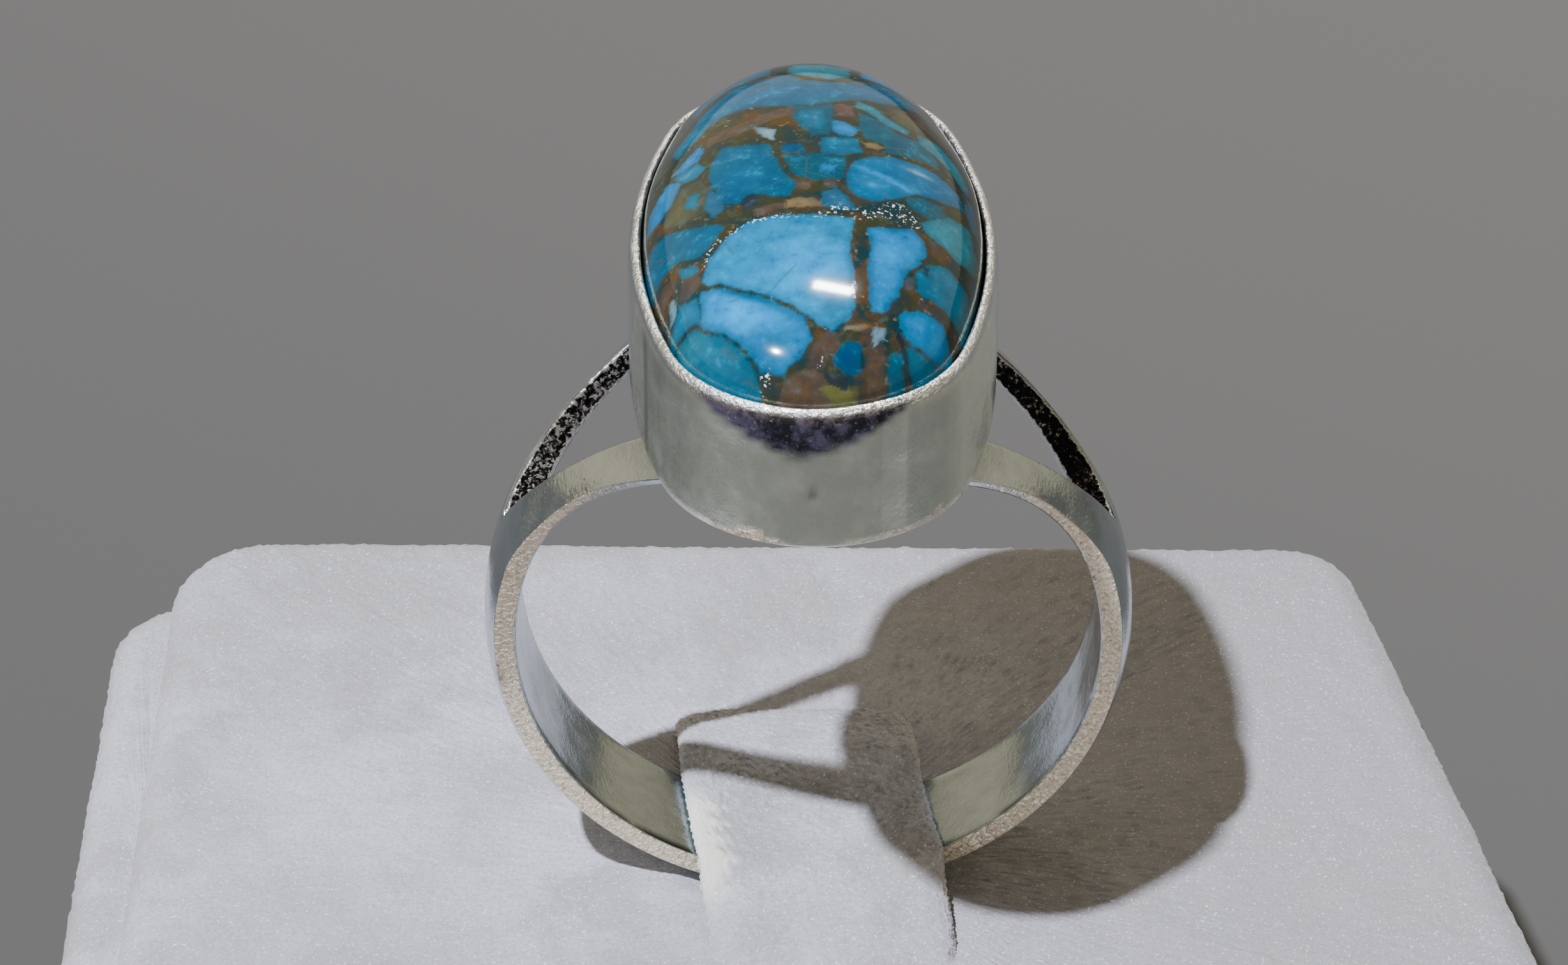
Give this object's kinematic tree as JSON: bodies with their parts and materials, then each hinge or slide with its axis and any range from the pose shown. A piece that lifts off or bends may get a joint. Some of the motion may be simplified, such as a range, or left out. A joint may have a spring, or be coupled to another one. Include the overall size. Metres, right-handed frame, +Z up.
{
  "type": "turquoise ring on a display block",
  "caption": "Split-shank silver ring with a tall oval bezel and a copper-matrix turquoise dome, upright under a strap on a velvet display block.",
  "frame": {"origin": "middle of the display block's bottom face, straight below the ring's centre", "axes": "+Z up, +X to the right seen from the ring's front, +Y through the finger hole, away from the viewer"},
  "size_m": [0.0454, 0.0332, 0.0436],
  "materials": {
    "silver": "polished sterling silver with worn patches",
    "turquoise": "polished, with copper matrix",
    "velvet": "short white nap"
  },
  "bodies": {
    "root": {"silver_mounting": "silver", "turquoise_cabochon": "turquoise", "display_block": "velvet", "ring_strap": "velvet"}
  },
  "joints": []
}
